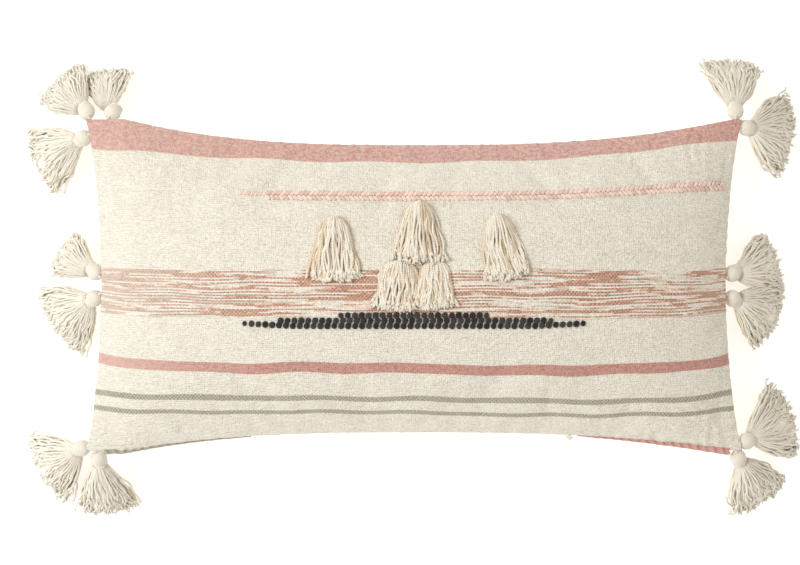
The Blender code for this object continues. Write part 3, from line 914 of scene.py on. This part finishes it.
def turned(vector, degrees):
    """A vector turned round +Z."""
    cosine, sine = math.cos(math.radians(degrees)), math.sin(math.radians(degrees))
    x, y, z = vector
    return np.array([x * cosine - y * sine, x * sine + y * cosine, z])


def ground(x, _):
    """The floor's height at many places."""
    return np.full(np.shape(x), FLOOR_Z)


def fan_curves(a, wide, thick, reach, bend, fan, pose):
    """Centrelines that start at the shares `a` across the neck, lean out by `wide` and rise by `thick`."""
    neck, axis, side, over = pose
    q = np.linspace(0, 1, STRAND_STEPS)
    angle = math.radians(fan) * wide * (1.75 - 1.50 * q) + bend
    step = reach / (STRAND_STEPS - 1)
    forward = np.cumsum(np.cos(angle) * step, axis=1) - step
    sideways = np.cumsum(np.sin(angle) * step, axis=1) - np.sin(angle[:, :1]) * step
    depth = NECK_RADIUS * (1 - q) + SKIRT_PUFF * np.sin(math.pi * np.clip(q * 0.80, 0, 1)) ** 0.9
    sideways = sideways + a[:, None] * NECK_RADIUS
    above = thick * depth + SKIRT_ARCH * np.sin(math.pi * q)
    return (neck + forward[:, :, None] * axis + sideways[:, :, None] * side
            + above[:, :, None] * over)


def tassel_strands(length, fan, pose, draw):
    """A skirt's strands, which fan out from the neck, arch and droop in loose locks, and a value from each
    one's layer that paints shade on the lower strands.
    """
    count = int(STRANDS * max(1.0, fan / USUAL_FAN))
    a, b = even_disc(count)
    lock_a, lock_b = even_disc(CLUMPS)
    nearest = ((a[:, None] - lock_a) ** 2 + (b[:, None] - lock_b) ** 2).argmin(axis=1)
    q = np.linspace(0, 1, STRAND_STEPS)
    gather = (LOCK_SHARE * q ** 1.5)[None, :]
    wide = a[:, None] * (1 - gather) + lock_a[nearest][:, None] * gather
    thick = b[:, None] * (1 - gather) + lock_b[nearest][:, None] * gather
    reach = length * draw.uniform(0.86, 1.04, (count, 1)) * (1 - 0.10 * b[:, None] ** 2)
    sway = draw.uniform(0, 2 * math.pi, (5, count, 1))
    bend = STRAND_SWAY * np.sin(2 * math.pi * q * 1.1 + sway[0]) * q
    bend = bend + STRAND_CRINKLE * np.sin(2 * math.pi * q * 3.1 + sway[1]) * q
    bend = bend + STRAND_STRAY * draw.normal(size=(count, 1)) * q
    paths = fan_curves(a, wide, thick, reach, bend, fan, pose)
    lift = 0.0014 * q * np.sin(2 * math.pi * q * 1.4 + sway[2]) + 0.0007 * q * np.sin(11 * q + sway[3])
    # Painted shade: strands low in the skirt lean to the deep tan, those on top to the light cream.
    return paths + lift[:, :, None] * pose[3], 0.64 + 0.30 * b


def skirt_core(length, fan, pose):
    """The dense middle of a skirt, which shows only between its outer strands."""
    turn = 2 * math.pi * np.arange(CORE_SIDES) / CORE_SIDES
    a = CORE_SHARE * np.cos(turn)
    b = CORE_SHARE * np.sin(turn)
    grooves = 0.0005 * np.sin(turn * 9)[:, None] * np.linspace(0, 1, STRAND_STEPS)
    reach = np.full((CORE_SIDES, 1), length * 0.90)
    curves = fan_curves(a, a[:, None], b[:, None], reach, 0.0, fan, pose) + grooves[:, :, None] * pose[3]
    curves[:, :, 2] = np.maximum(curves[:, :, 2], FLOOR_Z + 0.0006)
    rings = np.moveaxis(curves, 0, 1)
    shape = (STRAND_STEPS, CORE_SIDES)
    along = np.broadcast_to(np.linspace(0, length, STRAND_STEPS)[:, None], shape)
    values = np.stack([along, np.broadcast_to(turn * 3, shape), np.full(shape, CORE_TINT)], axis=2)
    return rings.reshape(-1, 3), tube_faces(*shape), values.reshape(-1, 3)


def make_skirt(name, joint, axis, side, over, anchor, outset, draw, finish):
    skirt = node_points(name + "_skirt")
    reach = np.linalg.norm(skirt - anchor, axis=1)
    start = reach.min()
    turn, fan, share = LIE[name]
    length = (reach.max() - start) * share
    axis, side, over = (turned(vector, turn) for vector in (axis, side, over))
    pose = (anchor + outset + axis * (start - 0.001), axis, side, over)
    paths, layer = tassel_strands(length, fan, pose, draw)
    count = len(paths)
    q = np.linspace(0, 1, STRAND_STEPS)
    radii = STRAND_RADIUS * draw.uniform(0.80, 1.15, (count, 1)) * (0.82 + 0.28 * np.sin(math.pi * q * 0.9))
    radii = radii * (1 + 0.14 * np.sin(40 * q + draw.uniform(0, 6, (count, 1))))
    radii[:, -1] *= 0.7
    floor = FLOOR_Z + 0.0004
    paths[:, :, 2] = np.maximum(paths[:, :, 2], floor + radii)
    # The layer value, with a little random tone, is painted shade for the lower strands.
    strands = tubes(paths, radii, 5, over, np.clip(layer + 0.15 * draw.normal(size=count), 0, 1))
    fluff = frayed(paths, draw=draw, reference=over, floor_of=ground, **SKIRT_FRAY)
    points, faces, values = joined([skirt_core(length, fan, pose), strands, fluff])
    add_piece(
        name + "_strands", points, faces, finish, joint["child"], [name + "_skirt"], "tassel_yarn", values)


def make_head(name, joint, axis, side, over, anchor, outset, finish):
    """A ball of wound thread, and the tight turns that bind the neck below it."""
    ball = node_points(name + "_head")
    reach = (ball - anchor) @ axis
    centre = (reach.min() + reach.max()) / 2
    radius = np.abs((ball - anchor) @ side).max()
    turn = 2 * math.pi * np.arange(HEAD_SIDES) / HEAD_SIDES
    polar = np.linspace(0.02, math.pi * 0.985, HEAD_RINGS)
    station = -np.cos(polar) * radius * 1.02
    wound = station[:, None] + WINDING_TILT * np.cos(turn + 0.7)
    ridge = np.abs(np.sin(math.pi * wound / WINDING_PITCH)) ** 0.7
    thickness = radius * np.sin(polar)[:, None] * 0.89 + WINDING_RELIEF * ridge
    neck = np.exp(-((station - radius * 0.98) / 0.0014) ** 2)[:, None]
    thickness = thickness + neck * NECK_TURNS * (0.85 + 0.15 * ridge)
    ring = np.cos(turn)[None, :, None] * side + np.sin(turn)[None, :, None] * over
    place = anchor + outset + (centre + station)[:, None, None] * axis
    points = (place + ring * thickness[:, :, None]).reshape(-1, 3)
    shape = (HEAD_RINGS, HEAD_SIDES)
    # The third value is painted shade: low where the winding ridge dips, so the grooves take the deep colour.
    values = np.stack([
        np.broadcast_to(turn * radius, shape), wound / WINDING_PITCH, 0.05 + 0.75 * ridge,
    ], axis=2).reshape(-1, 3)
    add_piece(
        name + "_ball", points, tube_faces(*shape), finish, joint["child"], [name + "_head"],
        "tassel_binding", values)
    return centre - radius


def twisted_cord(start, direction, length, radius, plies, pitch, side):
    """Plies that twist round a straight line."""
    over = np.cross(direction, side)
    step = np.linspace(0, 1, max(8, int(length / pitch * 10)))
    paths = []
    for ply in range(plies):
        angle = 2 * math.pi * (step * length / pitch + ply / plies)
        ring = np.cos(angle)[:, None] * side + np.sin(angle)[:, None] * over
        paths.append(start + (step * length)[:, None] * direction + ring * radius * 0.5)
    paths = np.stack(paths)
    radii = np.full(paths.shape[:2], radius * 0.56)
    return tubes(paths, radii, 7, side + 0.01 * over, np.linspace(0.3, 0.8, plies))


def make_tassels():
    # The skirt yarn's deep tan is warm painted shade for the lower strands.
    skirt_finish = yarn_material("tassel_cotton", srgb(255, 250, 237), srgb(236, 207, 166))
    # The binding thread's deep colour is painted shade for the grooves between its windings.
    head_finish = yarn_material("binding_thread", srgb(252, 246, 233), srgb(200, 180, 148), 0.0016, 0.0002)
    loop_finish = yarn_material("loop_cotton", srgb(254, 250, 240), srgb(222, 208, 182), 0.0014, 0.0003)
    for number, joint in enumerate(frame["joints"]):
        name = joint["child"]
        if not name.startswith("tassel_"):
            continue
        draw = np.random.default_rng(100 + number)
        anchor, outward, _ = hanging_frame(joint)
        ball = node_points(name + "_head")
        towards = ball.mean(axis=0) - anchor
        outset = outward * OUTSET.get(name, 0.0)
        axis = unit(outward * (towards @ outward) + np.array((0, 0, towards[2])))
        side = unit(np.cross((0, 0, 1.0), outward))
        over = np.cross(axis, side)
        make_skirt(name, joint, axis, side, over, anchor, outset, draw, skirt_finish)
        ball_top = make_head(name, joint, axis, side, over, anchor, outset, head_finish)
        start = anchor + outset + axis * 0.0004
        loop = twisted_cord(start, axis, ball_top + 0.0014, CORD_RADIUS, 2, CORD_PITCH, side)
        add_piece(name + "_cord", *loop[:2], loop_finish, name, [name + "_loop"], "loop_cord", loop[2])


# The face, as the raised rows and the tufts find it

face_tree = BVHTree.FromPolygons(
    front_skin.reshape(-1, 3).tolist(), grid_quads(*front_skin.shape[:2]).tolist())


def face_hit(x, y):
    """The face's point and normal below (X, Y), pulled in to the cover where that lies outside it."""
    for inward in (1.0, 0.995, 0.985, 0.97, 0.95):
        place, normal, _, _ = face_tree.ray_cast(Vector((x * inward, y * inward, 1.0)), Vector((0, 0, -1)))
        if place is not None:
            return np.array(place), np.array(normal)
    return np.array((x, y, SEAM_Z)), np.array((0, 0, 1.0))


def face_z(x, y):
    flat = [face_hit(px, py)[0][2] for px, py in zip(np.ravel(x), np.ravel(y))]
    return np.array(flat).reshape(np.shape(x))


# Raised rows


def grains(places, axes, ups, sizes, shades_and_tones, squareness=1.0, rings=8, sides=8):
    """Rounded stitches of yarn. `sizes` are the half length, half width and half height of each."""
    polar = np.linspace(0.12, math.pi - 0.12, rings)
    turn = 2 * math.pi * np.arange(sides) / sides
    profile = np.sin(polar) ** squareness
    local = np.stack([
        np.broadcast_to(-np.cos(polar)[:, None], (rings, sides)),
        profile[:, None] * np.cos(turn), profile[:, None] * np.sin(turn),
    ], axis=2).reshape(-1, 3)
    across = unit(np.cross(ups, axes))
    height = np.cross(axes, across)
    scaled = local[None] * sizes[:, None]
    points = (places[:, None] + scaled[:, :, :1] * axes[:, None] + scaled[:, :, 1:2] * across[:, None]
              + scaled[:, :, 2:] * height[:, None])
    faces = repeated(tube_faces(rings, sides), len(places), rings * sides)
    shape = (len(places), rings, sides)
    values = np.stack([
        np.broadcast_to(scaled.reshape(*shape, 3)[:, :, :, 0], shape),
        np.broadcast_to(np.arange(sides) / sides, shape), np.broadcast_to(shades_and_tones[:, None, None], shape),
    ], axis=3)
    return points.reshape(-1, 3), faces, values.reshape(-1, 3)


def row_grains(xs, thread, offset, size, lean, lift, draw):
    """Stitches along one weft thread, each leaning by `lean` radians."""
    places, axes, ups = [], [], []
    for x in xs:
        y = float(thread_y(thread, x)) + offset
        place, normal = face_hit(x, y)
        ahead, _ = face_hit(x + 0.002, float(thread_y(thread, x + 0.002)) + offset)
        along = unit(ahead - place)
        across = np.cross(normal, along)
        tilt = lean + draw.normal(0, 0.07)
        axes.append(along * math.cos(tilt) + across * math.sin(tilt))
        places.append(place + normal * lift)
        ups.append(normal)
    sizes = np.array(size) * draw.uniform(0.93, 1.07, (len(places), 1))
    shades_and_tones = draw.uniform(0, 1, len(places))
    return grains(np.array(places), np.array(axes), np.array(ups), sizes, shades_and_tones)


BLUSH_THREAD = 0.0807
BLUSH_PITCH = 0.0043
BLUSH_STITCH = (0.0035, 0.0020, 0.0013)
BLUSH_APART = 0.0021
BLUSH_LEAN = 0.66
BLUSH_LIFT = 0.0007
BLUSH_THIN_LENGTH = 0.022
BLUSH_THIN_STITCH = (0.0027, 0.0016, 0.0010)


def make_blush_row():
    """A chain of leaning stitches in two rows, one thin row where it starts."""
    low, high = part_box("blush_yarn_row")
    draw = np.random.default_rng(51)
    doubled_from = low.x + BLUSH_THIN_LENGTH
    finish = yarn_material("blush_yarn", srgb(244, 220, 206), srgb(222, 186, 170), 0.0020, 0.0003)
    start = np.arange(low.x, doubled_from, BLUSH_PITCH * 0.8)
    upper = np.arange(doubled_from, high.x - 0.004, BLUSH_PITCH)
    lower = upper + BLUSH_PITCH / 2
    parts = [
        row_grains(start, BLUSH_THREAD, 0.0008, BLUSH_THIN_STITCH, 0.55, 0.0006, draw),
        row_grains(upper, BLUSH_THREAD, BLUSH_APART, BLUSH_STITCH, BLUSH_LEAN, BLUSH_LIFT, draw),
        row_grains(lower, BLUSH_THREAD, -BLUSH_APART, BLUSH_STITCH, -BLUSH_LEAN, BLUSH_LIFT, draw),
    ]
    points, faces, values = joined(parts)
    add_piece("blush_chain", points, faces, finish, "pillow", ["blush_yarn_row"], "blush_yarn", values)


BEAD_PITCH = 0.00625
BEAD_ROW = 0.0047
BEAD_SIZE = (0.0030, 0.0027, 0.0021)
BEAD_SQUARENESS = 0.72
BEAD_ROW_REACHES = (1.0, 0.81, 0.44)


def make_black_band():
    """Staggered rows of fat stitches: one along the whole band, a second and a third towards its middle."""
    low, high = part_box("black_yarn_band")
    draw = np.random.default_rng(52)
    finish = yarn_material("black_yarn", srgb(62, 59, 56), srgb(20, 19, 18), 0.0024, 0.0004, 0.15)
    half = (high.x - low.x) / 2
    bottom = low.y + 0.0022
    parts = []
    for row, reach in enumerate(BEAD_ROW_REACHES):
        stagger = BEAD_PITCH / 2 * (row % 2)
        xs = np.arange(-reach * half + 0.002 + stagger, reach * half - 0.002, BEAD_PITCH)
        rise = bottom + row * BEAD_ROW
        for x in xs:
            share = abs(x) / half
            lift_tip = 0.0022 * max(0.0, share - 0.7) / 0.3 if row == 0 else 0.0
            near_end = min(1.0, 0.72 + (reach * half - abs(x)) / 0.02)
            size = np.array(BEAD_SIZE) * near_end
            place, normal = face_hit(x, rise + lift_tip)
            across = np.array((0.22, 1.0, 0)) + draw.normal(0, 0.06, 3)
            axis = unit(across - (across @ normal) * normal)
            size = size * draw.uniform(0.94, 1.06)
            parts.append(grains(
                (place + normal * 0.0009)[None], axis[None], normal[None], size[None],
                draw.uniform(0, 0.6, 1), BEAD_SQUARENESS))
    points, faces, values = joined(parts)
    add_piece("black_bead_band", points, faces, finish, "pillow", ["black_yarn_band"], "black_yarn", values)


TWIST_STEPS = 320
TWIST_PITCH = 0.0080


def edge_twist(name, node, start, end, low_radius, high_radius, finish, slot):
    """A tapering three-ply twist along the bottom seam, between two shares of the cover's half length."""
    share = np.linspace(0, 1, TWIST_STEPS)
    x = HALF_X * (start + (end - start) * share)
    radius = low_radius + (high_radius - low_radius) * share ** 0.7
    edge_y = np.interp(x, front_skin[0, :, 0], front_skin[:, :, 1].min(axis=0))
    centre = np.stack([x, edge_y - radius * 0.35, np.full(TWIST_STEPS, SEAM_Z + 0.0004)], axis=1)
    paths, radii = [], []
    for ply in range(3):
        angle = 2 * math.pi * (x / TWIST_PITCH + ply / 3)
        ring = np.stack([np.zeros(TWIST_STEPS), np.cos(angle), np.sin(angle)], axis=1)
        paths.append(centre + ring * radius[:, None] * 0.48)
        radii.append(radius * 0.56)
    points, faces, values = tubes(
        np.stack(paths), np.stack(radii), 7, np.array((0.05, 0.1, 1.0)), np.array((0.2, 0.9, 0.5)))
    add_piece(name, points, faces, finish, "pillow", [node], slot, values)


def make_edge_rows():
    grey = yarn_material("grey_yarn", srgb(196, 188, 170), srgb(132, 124, 106), 0.0020, 0.0003)
    rose = yarn_material("rose_yarn", srgb(222, 174, 162), srgb(172, 112, 102), 0.0020, 0.0003)
    edge_twist("grey_twist", "grey_edge_row", -0.950, -0.50, 0.0026, 0.0006, grey, "grey_yarn")
    edge_twist("rose_twist", "rose_edge_row", 0.50, 0.965, 0.0005, 0.0036, rose, "rose_yarn")


# Face tufts

TUFT_STRANDS = 84
TUFT_STEPS = 18
TUFT_RADIUS = 0.00098
TUFT_FOLD = 0.0042
TUFT_FRAY = {"radius": 0.00165, "fibres": 2, "length": 0.0062}

# How high a tuft's strands stand, as shares of its height, at these shares of their length
TUFT_DROP = (0, 0.04, 0.12, 0.3, 0.5, 0.75, 1.0)
TUFT_RISE = (-0.35, 0.45, 1.0, 1.05, 0.88, 0.66, 0.42)
CENTRE_RISE = (-0.35, 0.45, 1.0, 1.05, 0.95, 0.86, 0.76)
LOWER_RISE = (-0.35, 0.20, 0.55, 0.78, 0.90, 0.80, 0.55)

# Shares of a tuft's half width that its strands reach at its top, and its height over the face
TUFT_SHAPES = {
    "tuft_left": (0.50, 0.0120), "tuft_centre": (0.46, 0.0135), "tuft_right": (0.52, 0.0120),
    "tuft_lower_left": (0.84, 0.0080), "tuft_lower_right": (0.84, 0.0080),
}
LOWER_WIDER = 1.18
CENTRE_LONGER = 1.11


def tuft_strands(joint, node, draw):
    """Centrelines that rise from the stitch, fold over and hang down the face in layers."""
    stitch, ahead, side = hanging_frame(joint)
    side = -side
    points = node_points(node)
    length = ((points - stitch) @ ahead).max()
    half = np.abs((points - stitch) @ side).max()
    top_share, height = TUFT_SHAPES[node]
    if "lower" in node:
        half *= LOWER_WIDER
    if node == "tuft_centre":
        length *= CENTRE_LONGER
    k = np.arange(TUFT_STRANDS)
    a = 2 * ((k + 0.5) / TUFT_STRANDS) - 1
    layer = (k * GOLDEN) % 1.0
    q = np.linspace(0, 1, TUFT_STEPS)
    gather = (0.06 * np.sin(a * 15 + draw.uniform(0, 6)) + 0.03 * np.sin(a * 31))[:, None] * q
    spread = a[:, None] + gather
    sway = draw.uniform(0, 2 * math.pi, (4, TUFT_STRANDS, 1))
    wobble = 0.0022 * q * np.sin(2 * math.pi * q * 1.1 + sway[0])
    wobble = wobble + 0.0009 * q * np.sin(13 * q + sway[1])
    edge = (1 - layer * 0.25)[:, None]
    opening = top_share * (1 - (1 - q) ** 9) + (1 - top_share) * q ** 1.15
    sideways = spread * half * edge * opening + wobble
    reach = length * (0.94 + 0.07 * draw.uniform(-1, 1, (TUFT_STRANDS, 1)) - 0.04 * a[:, None] ** 2)
    back = TUFT_FOLD * (1 - 0.75 * a[:, None] ** 2) * np.sin(math.pi * np.clip(q / 0.22, 0, 1))
    forward = reach * q ** 1.2 - back
    x = stitch[0] + ahead[0] * forward + side[0] * sideways
    y = stitch[1] + ahead[1] * forward + side[1] * sideways
    rises = CENTRE_RISE if node == "tuft_centre" else LOWER_RISE if "lower" in node else TUFT_RISE
    rise = np.interp(q, TUFT_DROP, rises)
    over = height * (0.12 + 0.88 * layer[:, None]) * (1 - 0.50 * a[:, None] ** 2)
    ruffle = 0.0014 * q * np.sin(2 * math.pi * q * 1.6 + sway[2]) + 0.0006 * np.sin(12 * q + sway[3])
    z = face_z(x, y) + 0.0012 + over * rise + ruffle
    z[:, 0] = stitch[2] - 0.0022
    return np.stack([x, y, z], axis=2), side


def make_tufts():
    # The tuft yarn's deep tan is warm painted shade for the lower strands.
    finish = yarn_material("tuft_cotton", srgb(255, 248, 233), srgb(226, 198, 160))
    for number, joint in enumerate(frame["joints"]):
        if not joint["child"].startswith("tuft_"):
            continue
        node = joint["child"].removesuffix("_body")
        draw = np.random.default_rng(200 + number)
        paths, side = tuft_strands(joint, node, draw)
        q = np.linspace(0, 1, TUFT_STEPS)
        radii = TUFT_RADIUS * draw.uniform(0.80, 1.18, (TUFT_STRANDS, 1)) * (0.88 + 0.25 * q)
        radii = radii * (1 + 0.14 * np.sin(40 * q + draw.uniform(0, 6, (TUFT_STRANDS, 1))))
        radii[:, -1] *= 0.6
        reference = side + np.array((0, 0, 0.02))
        layer = (np.arange(TUFT_STRANDS) * GOLDEN) % 1.0
        # Painted shade: strands in lower layers take the deeper tan, with random tone on top.
        shades_and_tones = np.clip(0.30 + 0.35 * layer + 0.28 * draw.normal(size=TUFT_STRANDS), 0, 1)
        strands = tubes(paths, radii, 6, reference, shades_and_tones)
        fluff = frayed(paths, draw=draw, reference=reference, floor_of=face_z, **TUFT_FRAY)
        points, faces, values = joined([strands, fluff])
        add_piece(node + "_strands", points, faces, finish, joint["child"], [node], "tuft_yarn", values)


# Zipper


def dress_zipper():
    tape = plain_cloth_material("zip_tape_weave", srgb(236, 228, 210), srgb(206, 194, 168), 0.0009)
    for name in ("zip_tape_front", "zip_tape_back"):
        frame["nodes"][name].data.materials.clear()
        frame["nodes"][name].data.materials.append(tape)
    enamel = painted_metal_material()
    for name in ("zip_slider", "zip_pull"):
        node = frame["nodes"][name]
        node.data.materials.clear()
        node.data.materials.append(enamel)
        rounding = node.modifiers.new("rounding", "BEVEL")
        rounding.width = 0.0002
        rounding.segments = 2


# Studio

FLOOR_REACH = 15.0
FLOOR_GLOW = 0.45
AIR_COLOUR = (1.0, 0.966, 0.918, 1.0)
AIR_STRENGTH = 0.675
KEY_PLACE = (-1.35, 0.20, 2.00)
KEY_SIZE = 0.7
KEY_POWER = 31.0
KEY_COLOUR = (0.925, 0.97, 1.0)
CAMERA_PLACE = (-0.0131, 0.0023, 1.8)
CAMERA_LENS = 83.8


def make_studio():
    floor_mesh = bpy.data.meshes.new("floor")
    corners = [(x * FLOOR_REACH, y * FLOOR_REACH, 0) for x, y in ((-1, -1), (1, -1), (1, 1), (-1, 1))]
    floor_mesh.from_pydata(corners, [], [(0, 1, 2, 3)])
    floor = linked("floor", floor_mesh)
    finish = Finish("studio_paper", 0.9)
    grain = finish.noise(finish.object_place(), 400.0, 3.0)
    finish.set("Base Color", finish.between(grain, srgb(244, 244, 243), srgb(250, 250, 249)))
    finish.set("Emission Color", srgb(255, 255, 254))
    finish.set("Emission Strength", FLOOR_GLOW)
    floor_mesh.materials.append(finish.material)

    world = bpy.data.worlds.new("studio_air")
    world.use_nodes = True
    air = world.node_tree.nodes["Background"].inputs
    air["Color"].default_value = AIR_COLOUR
    air["Strength"].default_value = AIR_STRENGTH
    bpy.context.scene.world = world

    softbox("key", KEY_PLACE, KEY_SIZE, KEY_POWER, KEY_COLOUR)

    camera_data = bpy.data.cameras.new("camera")
    camera_data.lens = CAMERA_LENS
    camera = linked("camera", camera_data)
    camera.location = CAMERA_PLACE
    bpy.context.scene.camera = camera
    bpy.context.scene.view_settings.view_transform = "Standard"


def softbox(name, place, size, power, colour):
    light = bpy.data.lights.new(name, "AREA")
    light.shape = "SQUARE"
    light.size = size
    light.energy = power
    light.color = colour
    lamp = linked(name, light)
    lamp.location = place
    lamp.rotation_euler = (Vector((0, 0, 0.05)) - Vector(place)).to_track_quat("-Z", "Y").to_euler()


make_studio()
make_cover()
make_insert()
make_blush_row()
make_black_band()
make_edge_rows()
dress_zipper()
make_tassels()
make_tufts()
